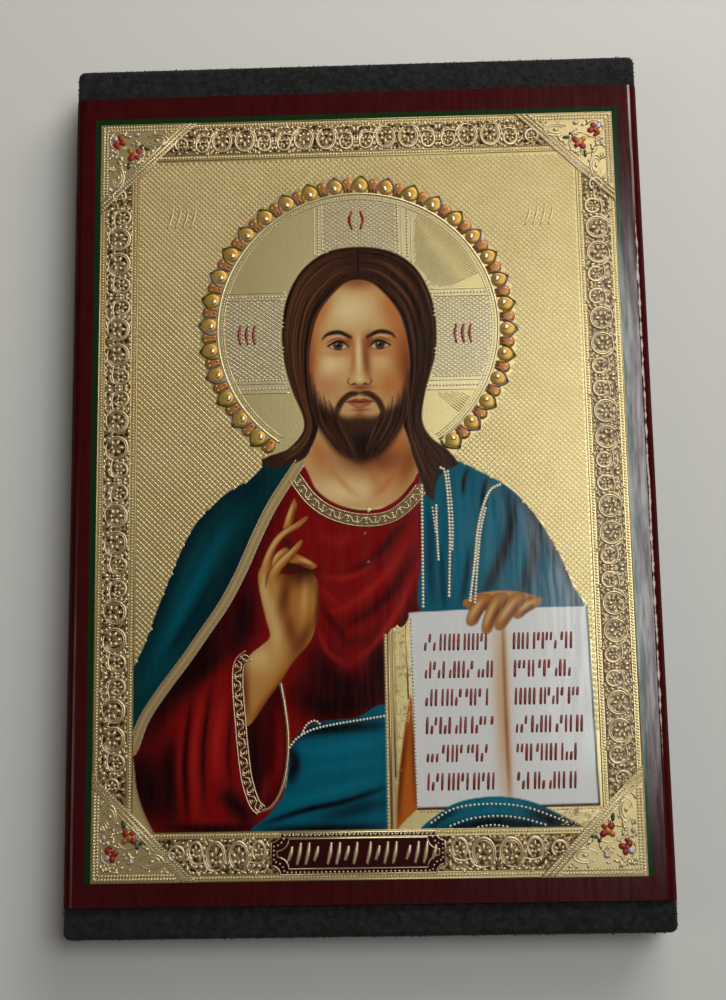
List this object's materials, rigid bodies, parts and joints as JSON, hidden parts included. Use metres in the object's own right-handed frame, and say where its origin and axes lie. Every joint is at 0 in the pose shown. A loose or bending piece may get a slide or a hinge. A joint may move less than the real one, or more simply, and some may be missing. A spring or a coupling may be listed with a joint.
{
  "type": "icon panel",
  "caption": "Small upright icon panel: a thick board covered in black flock, with a foil-stamped print of a haloed figure glued over its front and bent round its long edges.",
  "frame": {"origin": "middle of the flat back face, on which the panel lies", "axes": "+Z out of the picture, +Y to the picture's top, +X to the picture's right"},
  "size_m": [0.06, 0.09, 0.0068],
  "materials": {
    "black_flock": "matte",
    "foil_print": "gloss"
  },
  "bodies": {
    "root": {"backing_board": "black_flock", "printed_sheet": "foil_print"}
  },
  "joints": []
}
